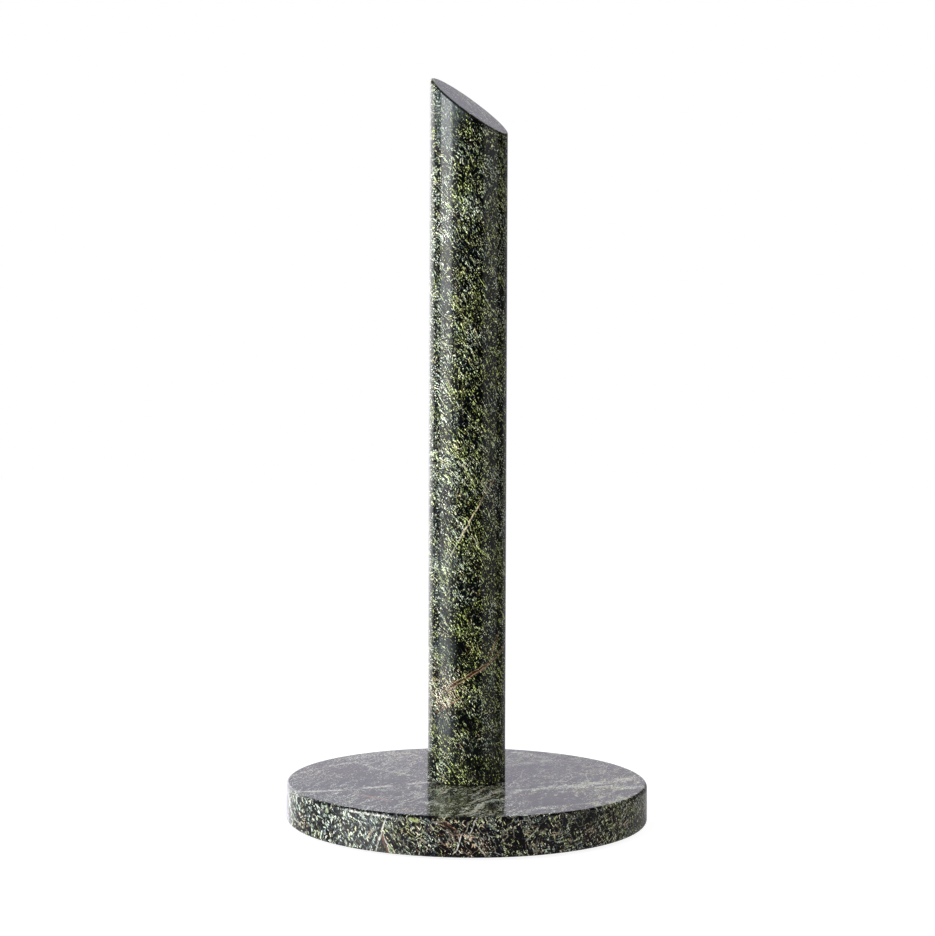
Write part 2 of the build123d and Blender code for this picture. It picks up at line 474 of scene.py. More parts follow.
def post_stone():
    shader = Shader("post_stone", IOR=POLISH_IOR)
    place = shader.place()
    wavy = shader.warped(shader.warped(place, 6.0, 0.8), 1.2, 0.16, 2.0)
    blush = patch(shader, wavy, on_post(-103, 54), 14)
    paler_side = shader.range(shader.along(wavy, TO_RIGHT), -3.0, -11.0, smooth=True)
    mid_left = shader.product(paler_side, patch(shader, wavy, on_post(-98, 150), 50))
    lower_third = shader.range(shader.along(wavy, UP), 135.0, 95.0, smooth=True)
    crowding = [(1.0, -0.02), (paler_side, 0.06), (mid_left, 0.06), (blush, 0.17)]
    colour = felt(
        shader,
        place,
        sets=POST_STROKES,
        lean=seen(0.62, 0.75, 0.2),
        contrast=0.82,
        grit=(0.04, 1.78),
        crowding=crowding + zone_terms(shader, wavy, POST_ZONES),
        paling=[(paler_side, 0.25), (lower_third, -0.14)],
        warming=[(blush, 0.6)],
        ground=POST_GROUND,
        palettes=(POST_GREEN, POST_PALE, POST_TAN),
    )
    # Grey-blue mist, partly a painted highlight
    colour = misted_and_sheened(shader, colour, wavy, place)
    colour = veined(shader, colour, wavy, place, post_veins())
    # Painted shade: the cut's rounded edge and the post's foot darkened
    painted_edge_shade = shader.math("MAXIMUM", cut_edge_painted_shade(shader, place), foot_painted_shade(shader, place))
    colour = shader.mix(painted_edge_shade, colour, POST_PAINTED_EDGE_SHADE)
    # Painted highlight: a pale spot on the round of the cut's tip
    painted_tip_highlight = shader.product(patch(shader, place, on_post(-148, 298.6), 3.4), 0.9)
    colour = shader.mix(painted_tip_highlight, colour, POST_TIP_HIGHLIGHT)
    haze = shader.noise(place, 4.0, 4.0, 0.6)
    return shader.feed(Base_Color=colour, Roughness=shader.range(haze, 0.35, 0.65, 0.02, 0.05))


# The base's stone: the colours of its ground, of the three kinds of stroke and of its veins
BASE_GROUND = (
    (0.30, (0.0014, 0.0008, 0.0016)),
    (0.55, (0.0040, 0.0032, 0.0058)),
    (0.75, (0.010, 0.009, 0.012)),
)
BASE_GREEN = (
    (0.36, (0.0014, 0.0010, 0.0016)),
    (0.52, (0.015, 0.0145, 0.021)),
    (0.62, (0.12, 0.138, 0.092)),
    (0.73, (0.53, 0.60, 0.21)),
    (0.90, (0.92, 0.95, 0.55)),
)
BASE_PALE = (
    (0.36, (0.0016, 0.0014, 0.0030)),
    (0.52, (0.015, 0.016, 0.024)),
    (0.62, (0.115, 0.155, 0.178)),
    (0.73, (0.49, 0.61, 0.52)),
    (0.90, (0.85, 0.95, 0.84)),
)
BASE_TAN = (
    (0.36, (0.006, 0.003, 0.002)),
    (0.52, (0.045, 0.024, 0.020)),
    (0.62, (0.25, 0.15, 0.095)),
    (0.73, (0.70, 0.52, 0.33)),
    (0.90, (0.98, 0.87, 0.70)),
)
BASE_WHITE = (0.82, 0.80, 0.74)
BASE_CREAM = (0.64, 0.60, 0.48)
BASE_MILK = (0.60, 0.60, 0.47)
BASE_RUST = (0.20, 0.080, 0.042)
# Colour of the painted dark reflection along the base's upper rim
BASE_RIM_PAINTED_SHADE = (0.003, 0.003, 0.004)
BASE_HONED = (0.13, 0.14, 0.12)

# Bands of the base's upper face where pale strokes crowd: from, to, half width, reach and how much
BASE_BANDS = (
    (on_top(15, -26), on_top(44, -13), 3.4, 18, 0.40),
    (on_top(41, -14), on_top(72, 6), 4.0, 21, 0.44),
    (on_top(40, -16), on_top(73, -13), 3.4, 20, 0.36),
    (on_top(16, -61), on_top(61, -39), 3.0, 27, 0.22),
    (on_top(15, 27), on_top(38, 43), 3.0, 15, 0.36),
    (on_top(38, 43), on_top(21, 64), 4.4, 15, 0.32),
    (on_top(-61, 24), on_top(-46, 33), 2.0, 10, 0.42),
    (on_top(-46, 34), on_top(-33, 15), 2.0, 13, 0.42),
    (on_top(-33, 15), on_top(-17, 2), 2.0, 12, 0.40),
    (on_top(-67, -31), on_top(-46, -24), 2.0, 14, 0.40),
    (on_top(15, -20), on_top(4, -44), 2.0, 15, 0.34),
    (on_top(6, -50), on_top(0, -68), 2.0, 12, 0.40),
)

# Round zones of the base where strokes crowd or thin out: middle, reach and how much
BASE_ZONES = (
    (on_top(63, -14), 13, 0.20),
    (on_top(42, 20), 34, -0.02),
    (on_top(-45, -12), 30, -0.07),
    (on_top(-47, 20), 20, -0.18),
    (on_top(-36, -4), 22, -0.12),
    (on_top(36, -43), 22, -0.28),
    (on_top(-33, -31), 9, -0.28),
    (on_top(-38, 50), 34, 0.25),
    (on_top(-66, 8), 14, 0.16),
    (on_top(0, -42), 28, 0.02),
    (on_top(-12, -48), 7, 0.34),
    (on_top(3, -50), 7, 0.34),
    (on_top(-8, -27), 8, 0.14),
    (on_top(7, -56), 12, 0.12),
    (on_top(-26, 14), 30, 0.07),
    (on_top(26, 39), 16, 0.07),
    (on_top(41, -21), 9, 0.14),
    (on_top(60, 8), 12, -0.10),
    (on_rim(-74, 8), 22, -0.045),
    (on_rim(-128, 9), 6, -0.12),
    (on_rim(-87.5, 8), 6, -0.10),
    (on_rim(-48, 6), 9, -0.10),
    (on_rim(-60, 7), 6, -0.10),
    (on_rim(-74, 14.5), 8, -0.08),
    (on_rim(-62, 14.5), 8, -0.10),
    (on_rim(-40, 14), 13, -0.08),
    (on_rim(-22, 15), 7, -0.10),
)

# Round zones of the base where more strokes are tan: middle, reach and how much
BASE_WARM_ZONES = (
    (on_rim(-122, 3), 9, 0.35),
    (on_rim(-66, 9), 9, 0.35),
    (on_rim(-58.7, 5.7), 7, 0.55),
    (on_rim(-22, 8.5), 6, 0.35),
    (on_top(-62, 12), 26, 0.35),
    (on_top(-40, 45), 40, 0.20),
    (on_top(-39, -37), 8, 0.50),
)
BEFORE_POST = on_top(0, -42)  # where the upper face mirrors the post in the photograph


def face_veins():
    """Lines that can be followed on the base's upper face in the photograph."""
    white_near = across_top(on_top(-41, -20.5), on_top(-29, -16))
    white_far = across_top(on_top(-23, -11.5), on_top(-14, -8))
    hairline_back = across_top(on_top(24, 22), on_top(22, 4))
    hairline_front = across_top(on_top(22, 5), on_top(16, -16))
    from_post = across_top(on_top(14, -23), on_top(8, -34))
    from_post_on = across_top(on_top(8, -33), on_top(2, -48))
    beside_post = across_top(on_top(12, -31), on_top(4, -47))
    front_vein = across_top(on_top(7, -52), on_top(-1, -69))
    left_streak = across_top(on_top(-66, -30), on_top(-48, -25))
    rust_back = across_top(on_top(-44, -30), on_top(-38, -36))
    rust_front = across_top(on_top(-39, -35), on_top(-29, -45))
    rust_rim = across_top(on_top(-25, -54), on_top(-19, -66))
    front_streak = across_top(on_top(-19, -32), on_top(-28, -60))
    return (
        (white_near, 0.0, 2.20, 8, 1.0, BASE_WHITE),
        (white_far, 0.0, 2.00, 7, 1.0, BASE_WHITE),
        (left_streak, 0.0, 1.20, 11, 0.8, BASE_WHITE),
        (hairline_back, 0.0, 0.45, 11, 0.8, BASE_WHITE),
        (hairline_front, 0.0, 0.45, 13, 0.8, BASE_WHITE),
        (from_post, 0.0, 0.60, 7, 0.9, BASE_CREAM),
        (from_post_on, 0.0, 0.60, 9, 0.9, BASE_CREAM),
        (beside_post, 0.0, 0.50, 9, 0.7, BASE_CREAM),
        (front_vein, 0.0, 1.20, 10, 0.9, BASE_CREAM),
        (rust_back, 0.0, 1.20, 6, 0.9, (0.36, 0.19, 0.12)),
        (rust_front, 0.0, 1.50, 9, 0.9, (0.36, 0.20, 0.12)),
        (rust_rim, 0.0, 1.20, 8, 0.7, (0.34, 0.20, 0.13)),
        (front_streak, 0.0, 0.55, 16, 0.6, BASE_WHITE),
    )


def wall_veins():
    """Lines that can be followed on the base's wall in the photograph, and along the rim's right a painted
    highlight with a painted dark line beside it.
    """
    left_vein = across_rim(on_rim(-137.6, 12.3), on_rim(-132, 7.6))
    left_vein_on = across_rim(on_rim(-132.5, 7.9), on_rim(-124, 4.5))
    under_rim = across_rim(on_rim(-99, 15.2), on_rim(-84.8, 15.4))
    forked = across_rim(on_rim(-85.6, 14.0), on_rim(-88.7, 2.7))
    forked_rust = across_rim(on_rim(-86.7, 7.8), on_rim(-85.1, 2.7))
    moss_spot = across_rim(on_rim(-77.6, 14.9), on_rim(-75.6, 14.7))
    rust_slash = across_rim(on_rim(-71.0, 16.1), on_rim(-64.1, 10.3))
    bright_hair = across_rim(on_rim(-62.6, 9.8), on_rim(-65.0, 3.2))
    loop_left = across_rim(on_rim(-61.6, 11.0), on_rim(-60.2, 15.2))
    loop_under = across_rim(on_rim(-64.0, 10.2), on_rim(-59.5, 9.2))
    loop_right = across_rim(on_rim(-58.6, 15.4), on_rim(-60.6, 9.6))
    pink_hair = across_rim(on_rim(-60.5, 9.5), on_rim(-56.4, 2.6))
    right_hair = across_rim(on_rim(-43.2, 7.8), on_rim(-41.0, 11.0))
    right_rim_highlight_and_shade = across_rim(on_rim(7.4, 14.8), on_rim(22.4, 13.1))
    return (
        (left_vein, 0.0, 0.90, 8, 0.9, BASE_WHITE),
        (left_vein_on, 0.0, 0.60, 8, 0.9, BASE_CREAM),
        (under_rim, 0.0, 0.55, 12, 1.0, BASE_WHITE),
        (forked, 0.0, 0.45, 8, 0.9, BASE_WHITE),
        (forked_rust, 0.0, 0.70, 5, 0.9, BASE_RUST),
        (forked_rust, 0.9, 0.30, 6, 0.8, BASE_WHITE),
        (moss_spot, 0.0, 1.10, 2.6, 0.8, (0.50, 0.56, 0.22)),
        (rust_slash, 0.0, 1.20, 8, 0.95, (0.016, 0.008, 0.006)),
        (rust_slash, 0.8, 0.45, 6, 0.8, (0.060, 0.024, 0.014)),
        (rust_slash, -1.5, 0.35, 6, 0.55, BASE_CREAM),
        (bright_hair, 0.0, 0.34, 5, 1.0, BASE_WHITE),
        (loop_left, 0.0, 0.28, 3, 0.6, BASE_CREAM),
        (loop_under, 0.0, 0.30, 4, 0.6, (0.52, 0.34, 0.26)),
        (loop_right, 0.0, 0.30, 5, 0.8, BASE_WHITE),
        (pink_hair, 0.0, 0.30, 6, 0.8, BASE_CREAM),
        (right_hair, 0.0, 0.32, 4, 0.8, BASE_CREAM),
        # Painted highlight along the rim's right, and a painted dark line beside it
        (right_rim_highlight_and_shade, 0.0, 0.70, 12, 0.7, (0.52, 0.52, 0.36)),
        (right_rim_highlight_and_shade, 1.6, 1.40, 12, 0.9, (0.004, 0.004, 0.006)),
    )


def rim_painted_shade(shader, place):
    """Share of the painted dark reflection along the base's rounded upper rim, which breaks up towards the
    right.
    """
    height = shader.along(place, UP)
    line = shader.range(height, BASE_TOP - 0.02, BASE_TOP - 0.10)
    uneven_height = shader.total((shader.noise(place, 0.8, 1.0), 1.2), (height, 1.0))
    ragged = shader.range(uneven_height, BASE_TOP - 0.5, BASE_TOP - 0.2, smooth=True)
    broken = shader.range(shader.noise(place, 1.3, 3.0), 0.43, 0.53)
    kept = shader.range(shader.along(place, TO_RIGHT), 5.0, 40.0, 0.85, 0.60, smooth=True)
    return shader.product(line, ragged, broken, kept)


def underside(shader, place):
    """Share of the faces that are sawn and honed but not polished: below the base and inside its recess."""
    height = shader.along(place, UP)
    below = shader.range(height, BASE_BOTTOM + 0.3, BASE_BOTTOM + 0.05)
    from_axis = shader.distance(shader.vector("MULTIPLY", place, Vector((1, 1, 0))), Vector((0, 0, 0)))
    within = shader.math("LESS_THAN", from_axis, RECESS_RADIUS + RECESS_CHAMFER)
    under_roof = shader.math("LESS_THAN", height, RECESS_ROOF + 0.1)
    return shader.math("MAXIMUM", below, shader.product(within, under_roof))


def base_strokes(shader, left, right, on_face):
    """The base's sets of strokes, which change towards the left and on the upper face."""
    off_face = shader.range(on_face, 0.0, 1.0, 1.0, 0.4)
    falling_lift = shader.product(left, -0.28)
    rising_lift = shader.total((left, -0.05), (right, -0.04))
    long_lift = shader.range(left, 0.0, 1.0, -0.26, -0.40)
    long_share = shader.range(left, 0.0, 1.0, 1.0, 0.3)
    return (
        (seen(-0.74, 0.52, 0.41), 0.42, 1.45, falling_lift, 1.0),
        (seen(0.80, 0.45, 0.40), 0.38, 1.80, rising_lift, off_face),
        (seen(0.95, 0.12, 0.30), 0.58, 1.90, -0.19, shader.product(left, off_face)),
        (seen(0.30, 0.70, -0.65), 0.28, 4.5, long_lift, long_share),
    )


def base_flakes(shader, place, flowing):
    """How far drawn-out flakes of the upper face crowd its strokes, most of all before the post."""
    drawn_out = shader.grains(shader.warped(place, 14.0, 4.0), seen(0.95, 0.0, -0.30), 0.28, 1.8)
    flakes = shader.math("SUBTRACT", shader.noise(drawn_out, 7.0, 4.0, 0.62), 0.5)
    vivid = shader.range(patch(shader, flowing, BEFORE_POST, 30), 0.0, 1.0, 1.95, 2.6)
    return shader.product(flakes, vivid)


def base_felt(shader, place, wavy, flowing, left, bands):
    """The base's ground and strokes."""
    right = shader.range(shader.along(wavy, TO_RIGHT), 20.0, 60.0, smooth=True)
    on_face = shader.range(shader.along(place, UP), BASE_TOP - 1.0, BASE_TOP - 0.1)
    before_post = patch(shader, flowing, BEFORE_POST, 28)
    # Painted shade: the upper face is darker in a ring round the post's foot
    painted_shade_by_post = patch(shader, place, UP * BASE_TOP, POST_RADIUS + 5)
    crowding = [(1.0, 0.02), (left, 0.175), (right, 0.10), (on_face, 0.04), (bands, 1.0)]
    crowding += zone_terms(shader, flowing, BASE_ZONES)
    crowding.append((shader.product(base_flakes(shader, place, flowing), on_face), 1.0))
    crowding.append((shader.product(on_face, painted_shade_by_post), -0.30))
    return felt(
        shader,
        place,
        sets=base_strokes(shader, left, right, on_face),
        lean=seen(0.5, 0.35, 0.8),
        contrast=shader.range(left, 0.0, 1.0, 0.60, 0.30),
        grit=(0.40, 1.40),
        crowding=crowding,
        paling=[(left, 0.33), (right, -0.08), (on_face, 0.14), (bands, 0.5), (before_post, 0.2)],
        warming=[(1.0, 0.07), (left, -0.12), *zone_terms(shader, wavy, BASE_WARM_ZONES)],
        ground=BASE_GROUND,
        palettes=(BASE_GREEN, BASE_PALE, BASE_TAN),
    )


def base_stone():
    shader = Shader("base_stone", IOR=POLISH_IOR)
    place = shader.place()
    wavy = shader.warped(shader.warped(shader.warped(place, 8.0, 1.0), 3.0, 0.90), 1.0, 0.25, 2.0)
    flowing = shader.warped(shader.warped(place, 16.0, 4.0), 4.0, 1.0, 2.0)
    left = shader.range(shader.along(wavy, TO_RIGHT), -8.0, -45.0, smooth=True)
    bands = shader.total(*(
        (vein(shader, flowing, across_top(first, last), 0.0, width, reach), crowd)
        for first, last, width, reach, crowd in BASE_BANDS
    ))
    colour = base_felt(shader, place, wavy, flowing, left, bands)
    streaks = shader.noise(shader.grains(flowing, seen(0.3, 0.2, 0.9), 0.6, 2.0), 3.0, 3.0)
    milky = shader.math("MULTIPLY", bands, shader.range(streaks, 0.36, 0.60, 0.0, 0.9), clamp=True)
    colour = shader.mix(milky, colour, BASE_MILK)
    ridges = shader.math("ABSOLUTE", shader.math("SUBTRACT", shader.noise(wavy, 7.0, 3.0), 0.5))
    hairs = shader.product(shader.range(ridges, 0.014, 0.004), shader.range(left, 0.0, 1.0, 0.25, 0.05))
    colour = shader.mix(hairs, colour, BASE_CREAM)
    colour = veined(shader, colour, wavy, place, face_veins() + wall_veins())
    # Painted dark reflection along the upper rim
    colour = shader.mix(rim_painted_shade(shader, place), colour, BASE_RIM_PAINTED_SHADE)
    honed = underside(shader, place)
    colour = shader.mix(shader.product(honed, 0.45), colour, BASE_HONED)
    saw_marks = shader.noise(shader.grains(place, Vector((0.94, 0.34, 0)), 0.35, 30.0), 1.0, 2.0)
    shader.bump(shader.product(saw_marks, honed), 0.03)
    polish = shader.range(shader.noise(place, 5.0, 4.0, 0.6), 0.35, 0.65, 0.11, 0.17)
    return shader.feed(Base_Color=colour, Roughness=shader.total((polish, 1.0), (honed, 0.36)))


# Hidden hardware


def zinc_steel():
    shader = Shader("zinc_steel", Metallic=1.0)
    place = shader.place()
    clouds = shader.noise(place, 2.5, 3.0)
    bluish, silver, yellowish = (0.52, 0.54, 0.57), (0.62, 0.63, 0.65), (0.66, 0.64, 0.58)
    colour = shader.ramp(clouds, (0.3, bluish), (0.55, silver), (0.75, yellowish))
    scuffs = shader.noise(place, 0.3, 3.0)
    shader.bump(scuffs, 0.01)
    return shader.feed(Base_Color=colour, Roughness=shader.range(scuffs, 0.3, 0.7, 0.24, 0.42))


def spring_steel():
    shader = Shader("spring_steel", Metallic=1.0)
    place = shader.place()
    film = shader.noise(place, 1.6, 3.0)
    dark, grey, oily = (0.16, 0.16, 0.17), (0.28, 0.27, 0.27), (0.34, 0.30, 0.25)
    colour = shader.ramp(film, (0.3, dark), (0.6, grey), (0.8, oily))
    grain = shader.noise(place, 0.2, 3.0)
    shader.bump(grain, 0.01)
    return shader.feed(Base_Color=colour, Roughness=shader.range(grain, 0.3, 0.7, 0.30, 0.50))


def cured_resin():
    shader = Shader("cured_resin", IOR=1.55)
    place = shader.place()
    clouds = shader.noise(place, 4.0, 3.0)
    colour = shader.ramp(clouds, (0.3, (0.50, 0.41, 0.24)), (0.7, (0.66, 0.58, 0.40)))
    bubbles = shader.noise(place, 0.5, 1.0)
    shader.bump(bubbles, 0.05)
    return shader.feed(Base_Color=colour, Roughness=shader.range(bubbles, 0.3, 0.7, 0.18, 0.34))


def red_fibre():
    shader = Shader("red_fibre")
    place = shader.place()
    strands = shader.noise(shader.grains(place, Vector((0.3, 0.2, 0.93)), 0.12, 1.4), 1.0, 3.0)
    colour = shader.ramp(strands, (0.3, (0.20, 0.035, 0.022)), (0.7, (0.36, 0.080, 0.050)))
    shader.bump(strands, 0.02)
    return shader.feed(Base_Color=colour, Roughness=shader.range(strands, 0.3, 0.7, 0.55, 0.75))


def foot_rubber():
    shader = Shader("foot_rubber")
    place = shader.place()
    bloom = shader.noise(place, 3.0, 3.0)
    colour = shader.ramp(bloom, (0.3, (0.012, 0.012, 0.012)), (0.75, (0.030, 0.030, 0.029)))
    grain = shader.noise(place, 0.18, 2.0)
    shader.bump(grain, 0.02)
    return shader.feed(Base_Color=colour, Roughness=shader.range(bloom, 0.3, 0.7, 0.58, 0.74))


# Meshes


def skin(name, rings, first_pole=None, last_pole=None, closed=False):
    """Smooth mesh over rings of equally many points. A pole closes an end, or the last ring meets the
    first."""
    count = len(rings[0])
    points = [point for ring in rings for point in ring]
    faces = []
    pairs = list(zip(range(len(rings)), range(1, len(rings))))
    if closed:
        pairs.append((len(rings) - 1, 0))
    for below, above in pairs:
        for i in range(count):
            j = (i + 1) % count
            faces.append((below * count + i, below * count + j, above * count + j, above * count + i))
    if first_pole is not None:
        points.append(first_pole)
        faces += [(len(points) - 1, (i + 1) % count, i) for i in range(count)]
    if last_pole is not None:
        points.append(last_pole)
        start = (len(rings) - 1) * count
        faces += [(len(points) - 1, start + i, start + (i + 1) % count) for i in range(count)]
    mesh = bpy.data.meshes.new(name)
    mesh.from_pydata([Vector(point) * MM for point in points], [], faces)
    mesh.shade_smooth()
    mesh.validate()
    piece = bpy.data.objects.new(name, mesh)
    bpy.context.scene.collection.objects.link(piece)
    return piece


def circle(radius, height, count):
    turns = [2 * pi * i / count for i in range(count)]
    return [(radius * cos(turn), radius * sin(turn), height) for turn in turns]


def between(first, last, step):
    """Evenly spaced values after first, up to and with last, at most a step apart."""
    parts = max(1, ceil(abs(last - first) / step))
    return [first + (last - first) * (i + 1) / parts for i in range(parts)]


def arc(centre, radius, start, end, parts):
    """Points of a corner's round in the half-section, angles in degrees."""
    turns = [radians(start + (end - start) * i / parts) for i in range(parts + 1)]
    return [(centre[0] + radius * cos(turn), centre[1] + radius * sin(turn)) for turn in turns]


# Widths of the narrow rings beside an edge, which keep the shading of the flat next to it even
BASE_EDGE_HOLD = 0.2
POST_EDGE_HOLD = 0.15


def make_base():
    """The base turned from its half-section, from the stud's hole over the top and round underneath."""
    count = 320
    step = 4.0
    top_inner = BASE_HOLE_RADIUS + BASE_HOLE_CHAMFER
    top_outer = BASE_RADIUS - BASE_TOP_ROUND
    round_bottom = BASE_TOP - BASE_TOP_ROUND
    wall_top = round_bottom - BASE_EDGE_HOLD
    wall_bottom = BASE_BOTTOM + BASE_BOTTOM_ROUND
    bottom_outer = BASE_RADIUS - BASE_BOTTOM_ROUND
    bottom_flat = bottom_outer - BASE_EDGE_HOLD
    recess_mouth = RECESS_RADIUS + RECESS_CHAMFER
    section = [(BASE_HOLE_RADIUS, BASE_TOP - BASE_HOLE_CHAMFER), (top_inner, BASE_TOP)]
    section += [(radius, BASE_TOP) for radius in between(top_inner, top_outer - BASE_EDGE_HOLD, step)]
    section += arc((top_outer, round_bottom), BASE_TOP_ROUND, 90, 0, 10)
    section.append((BASE_RADIUS, wall_top))
    section += [(BASE_RADIUS, height) for height in between(wall_top, wall_bottom + BASE_EDGE_HOLD, step)]
    section += arc((bottom_outer, wall_bottom), BASE_BOTTOM_ROUND, 0, -90, 8)
    section.append((bottom_flat, BASE_BOTTOM))
    section += [(radius, BASE_BOTTOM) for radius in between(bottom_flat, recess_mouth, step)]
    section.append((RECESS_RADIUS, BASE_BOTTOM + RECESS_CHAMFER))
    section.append((RECESS_RADIUS, RECESS_ROOF))
    section += [(radius, RECESS_ROOF) for radius in between(RECESS_RADIUS, BASE_HOLE_RADIUS, step)]
    rings = [circle(radius, height, count) for radius, height in section]
    return skin("stone_base", rings[::-1], closed=True)


def ball_centre(direction):
    """Centre of the ball that rolls along the cut's edge, touching wall and cut."""
    centre = direction * (POST_RADIUS - CUT_ROUND)
    cut_height = CUT_MIDDLE.z - tan(CUT_SLOPE) * centre.x
    centre.z = cut_height - CUT_ROUND / cos(CUT_SLOPE)
    return centre


def make_post():
    """The post: bore, foot, wall, the oval round of the slanted cut, and the cut itself."""
    count = 192
    hold_share = 0.012  # of the way from the cut's rim to its middle
    foot_flat = POST_RADIUS - POST_FOOT_CHAMFER
    wall_bottom = POST_FOOT + POST_FOOT_CHAMFER
    wall_start = wall_bottom + POST_EDGE_HOLD
    directions = [Vector(point) for point in circle(1.0, 0.0, count)]
    centres = [ball_centre(direction) for direction in directions]
    rings = [circle(BORE_RADIUS, BORE_TOP, count)]
    rings += [circle(BORE_RADIUS, height, count) for height in between(BORE_TOP, POST_FOOT, 6.0)]
    rings += [circle(radius, POST_FOOT, count) for radius in between(BORE_RADIUS, foot_flat, 4.0)]
    rings += [circle(POST_RADIUS, height, count) for height in (wall_bottom, wall_start)]
    for share in between(0.0, 1.0, 0.02):
        heights = [wall_start + share * (centre.z - POST_EDGE_HOLD - wall_start) for centre in centres]
        rings.append([POST_RADIUS * d + UP * height for d, height in zip(directions, heights)])
    for share in (0.0, *between(0.0, 1.0, 0.1)):
        rings.append([c + CUT_ROUND * d.slerp(CUT_NORMAL, share) for c, d in zip(centres, directions)])
    rim = rings[-1]
    for share in (hold_share, *between(hold_share, 0.95, 0.12)):
        rings.append([point.lerp(CUT_MIDDLE, share) for point in rim])
    return skin("stone_post", rings, first_pole=(0, 0, BORE_TOP), last_pole=CUT_MIDDLE)


def make_stud():
    """Threaded rod: a one-millimetre pitch on a straight grid, with chamfered ends."""
    pitch = 1.0
    depth = 0.61 * pitch
    flat = 0.25
    end_chamfer = 0.8
    count = 48
    steps = 12
    bottom, top = STUD_LOW.z, STUD_HIGH.z

    def radius(turn, height):
        phase = (height / pitch - turn) % 1.0
        slope = abs(2 * phase - 1)
        groove = min(1.0, max(0.0, (slope - flat / 2) / (1 - flat)))
        end = STUD_RADIUS - end_chamfer + min(height - bottom, top - height)
        return min(STUD_RADIUS - depth * groove, end)

    rings = []
    for height in (bottom, *between(bottom, top, pitch / steps)):
        ring = []
        for i in range(count):
            turn = i / count
            reach = radius(turn, height)
            ring.append((reach * cos(2 * pi * turn), reach * sin(2 * pi * turn), height))
        rings.append(ring)
    return skin("threaded_stud", rings, first_pole=(0, 0, bottom), last_pole=(0, 0, top))


def dress(piece, material, node):
    piece.data.materials.append(material)
    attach(piece, "root")
    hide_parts(node)


def repaint(node, material):
    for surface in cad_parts[node].material_slots:
        surface.link = "OBJECT"
        surface.material = material


def make_pieces():
    """The stones and the stud in their own meshes, and new paint on the CAD meshes of the rest."""
    steel = zinc_steel()
    dress(make_base(), base_stone(), "base_disc")
    dress(make_post(), post_stone(), "post")
    dress(make_stud(), steel, "stud")
    repaint("resin_sleeve", cured_resin())
    repaint("fibre_washer", red_fibre())
    repaint("flat_washer", steel)
    repaint("spring_washer", spring_steel())
    repaint("hex_nut", steel)
    rubber = foot_rubber()
    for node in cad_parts:
        if node.startswith("foot_"):
            repaint(node, rubber)


# Studio

WHITE = (1.0, 1.0, 1.0, 1.0)
FLOOR_GREY = (0.36, 0.36, 0.36, 1.0)
FLOOR_GLOW = 0.90  # what the camera sees on top of the lit grey, so that the floor shows white
FLOOR_REACH = 4000.0


def floor_paint():
    shader = Shader("floor", Roughness=0.9, Specular_IOR_Level=0.0)
    camera_ray = shader.add("ShaderNodeLightPath").outputs["Is Camera Ray"]
    glow = shader.product(camera_ray, FLOOR_GLOW)
    return shader.feed(Base_Color=FLOOR_GREY, Emission_Color=WHITE, Emission_Strength=glow)


def make_floor():
    """Pale sweep that shows white to the camera and keeps the object's soft shadow."""
    side = FLOOR_REACH * MM
    corners = [(-side, -side, 0), (side, -side, 0), (side, side, 0), (-side, side, 0)]
    mesh = bpy.data.meshes.new("floor")
    mesh.from_pydata(corners, [], [(0, 1, 2, 3)])
    mesh.materials.append(floor_paint())
    floor = bpy.data.objects.new("floor", mesh)
    bpy.context.scene.collection.objects.link(floor)
    floor.visible_glossy = False


def make_softbox(name, start, end, low, high, distance, brightness):
    """Upright rectangular lamp that spans two directions, in degrees to the camera's right."""
    middle = radians((start + end) / 2)
    half = radians((end - start) / 2)
    way = TO_CAMERA * cos(middle) + TO_RIGHT * sin(middle)
    lamp = bpy.data.lights.new(name, "AREA")
    lamp.shape = "RECTANGLE"
    lamp.size = 2 * distance * tan(half) * MM
    lamp.size_y = (high - low) * MM
    lamp.energy = brightness * pi * lamp.size * lamp.size_y
    box = bpy.data.objects.new(name, lamp)
    box.location = (way * distance + UP * (low + high) / 2) * MM
    box.rotation_euler = way.to_track_quat("Z", "Y").to_euler()
    box.visible_camera = False
    box.visible_glossy = False
    bpy.context.scene.collection.objects.link(box)


# What the polish mirrors: direction from and to in degrees to the camera's right, softness of the edges in
# degrees, brightness at the table, low down and high up
PANELS = (
    (-89, -50, 5, 1.2, 1.4, 4.0),
    (-74, -52, 6, 0.1, 0.1, 1.1),
    (-52, -33, 8, 0.30, 0.40, 0.45),
    (-125, -92, 8, 0.24, 0.15, 0.15),
    (-142, -123, 6, 0.20, 1.45, 1.65),
    (-166, -142, 6, 0.95, 1.65, 1.75),
    (-190, -160, 14, 0.71, 0.71, 0.71),
    (45, 95, 4, 0.05, 0.30, 0.50),
    (97, 130, 5, 0.03, 0.04, 0.01),
    (130, 172, 5, 0.12, 0.20, 0.08),
    (166, 190, 5, 0.10, 0.655, 0.655),
)
PANELS_FADE = (21, 34.5)  # degrees above level
BACKDROP_EDGE = (148, 166)  # degrees to either side of the camera
BACKDROP_TINT = (1.0, 0.962, 1.10)
SECOND_BOUNCE = 0.2
ROOM_GLOW = 0.02
TABLE_GLOW = 0.13
FILL = 0.30

# Heights at which the mirrored brightness changes, as the sine of the angle above level
LOW_TO_HIGH = (-0.05, 0.22)
LOW_TO_TABLE = (-0.13, -0.22)
ROOM_TO_TABLE = (-0.14, -0.24)


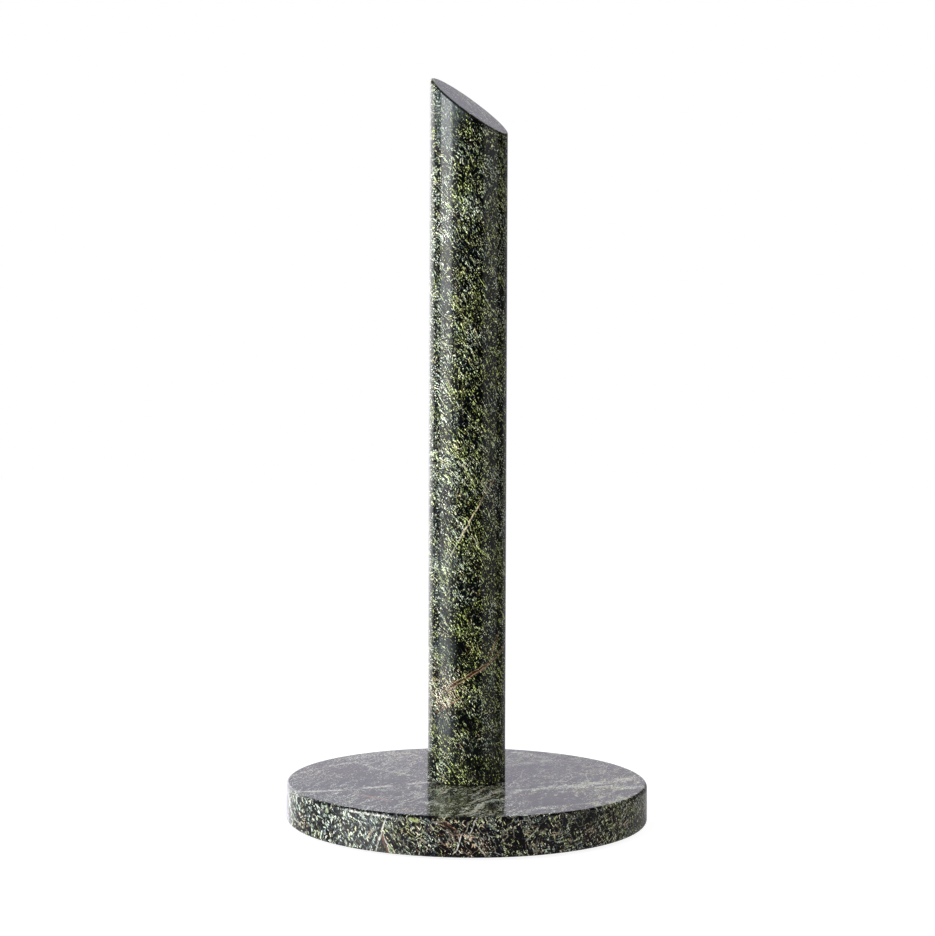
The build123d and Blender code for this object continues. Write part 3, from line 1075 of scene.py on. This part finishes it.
class Sky(Nodes):
    """The world's nodes, and where a ray looks: its turn to the camera's right and its rise."""

    def __init__(self, tree):
        super().__init__(tree)
        tree.nodes.clear()
        way = self.add("ShaderNodeTexCoord").outputs["Generated"]
        self.turn = self.math("ARCTAN2", self.along(way, TO_RIGHT), self.along(way, TO_CAMERA))
        self.rise = self.along(way, UP)

    def panel(self, start, end, soft, table, low, high):
        """Upright panel between two directions, with its brightness at the table, low down and high up."""
        start, end, soft = radians(start), radians(end), radians(soft)
        begins = self.range(self.turn, start - soft, start + soft, smooth=True)
        ends = self.range(self.turn, end + soft, end - soft, smooth=True)
        above = self.range(self.rise, *LOW_TO_HIGH, low, high, smooth=True)
        at_table = self.range(self.rise, *LOW_TO_TABLE, 0.0, table - low, smooth=True)
        return self.product(begins, ends, self.math("ADD", above, at_table))

    def background(self, strength, colour=(1.0, 1.0, 1.0)):
        return self.add("ShaderNodeBackground", (*colour, 1.0), strength).outputs[0]

    def choose(self, share, when_off, when_on):
        return self.add("ShaderNodeMixShader", share, when_off, when_on).outputs[0]


def make_world():
    """White behind the object for the camera, the panels for reflections, an even fill for the rest."""
    world = bpy.data.worlds.new("studio")
    bpy.context.scene.world = world
    world.use_nodes = True
    sky = Sky(world.node_tree)
    panels = sky.total(*((sky.panel(*edges_and_levels), 1.0) for edges_and_levels in PANELS))
    fade_start, fade_end = (sin(radians(angle)) for angle in PANELS_FADE)
    below_fade = sky.range(sky.rise, fade_end, fade_start, smooth=True)
    path = sky.add("ShaderNodeLightPath")
    mirrored_twice = sky.math("GREATER_THAN", path.outputs["Glossy Depth"], 1.5)
    dimmed = sky.range(mirrored_twice, 0.0, 1.0, 1.0, SECOND_BOUNCE)
    around = sky.range(sky.rise, *ROOM_TO_TABLE, ROOM_GLOW, TABLE_GLOW, smooth=True)
    glow = sky.math("ADD", sky.product(panels, below_fade, dimmed), around)
    edge_start, edge_end = (radians(angle) for angle in BACKDROP_EDGE)
    behind = sky.range(sky.math("ABSOLUTE", sky.turn), edge_start, edge_end, smooth=True)
    mirrored = sky.choose(behind, sky.background(glow), sky.background(glow, BACKDROP_TINT))
    for_glossy = sky.choose(path.outputs["Is Glossy Ray"], sky.background(FILL), mirrored)
    final = sky.choose(path.outputs["Is Camera Ray"], for_glossy, sky.background(1.0))
    sky.add("ShaderNodeOutputWorld", final)


def make_camera():
    """The photograph's camera. It points a little left of the object, and the shift frames it as there."""
    data = bpy.data.cameras.new("camera")
    data.sensor_width = SENSOR
    data.lens = FOCAL_PIXELS * SENSOR / FRAME_LONG_SIDE
    data.shift_x = tan(CAMERA_YAW) * FOCAL_PIXELS / FRAME_LONG_SIDE
    ahead = -TO_CAMERA * cos(CAMERA_YAW) - TO_RIGHT * sin(CAMERA_YAW)
    forward = ahead * cos(CAMERA_PITCH) - UP * sin(CAMERA_PITCH)
    level_right = ahead.cross(UP)
    level_up = level_right.cross(forward)
    right = level_right * cos(CAMERA_ROLL) + level_up * sin(CAMERA_ROLL)
    turn = Matrix((right, right.cross(forward), -forward)).transposed()
    position = (TO_CAMERA * CAMERA_DISTANCE + UP * CAMERA_HEIGHT) * MM
    camera = bpy.data.objects.new("camera", data)
    camera.matrix_world = Matrix.Translation(position) @ turn.to_4x4()
    bpy.context.scene.collection.objects.link(camera)
    bpy.context.scene.camera = camera


make_pieces()
make_floor()
make_softbox("softbox_left", start=-68, end=-28, low=-100, high=1100, distance=900, brightness=6.7)
make_softbox("softbox_right", start=45, end=95, low=-100, high=1100, distance=900, brightness=0.65)
make_world()
make_camera()
bpy.context.scene.view_settings.view_transform = "Standard"
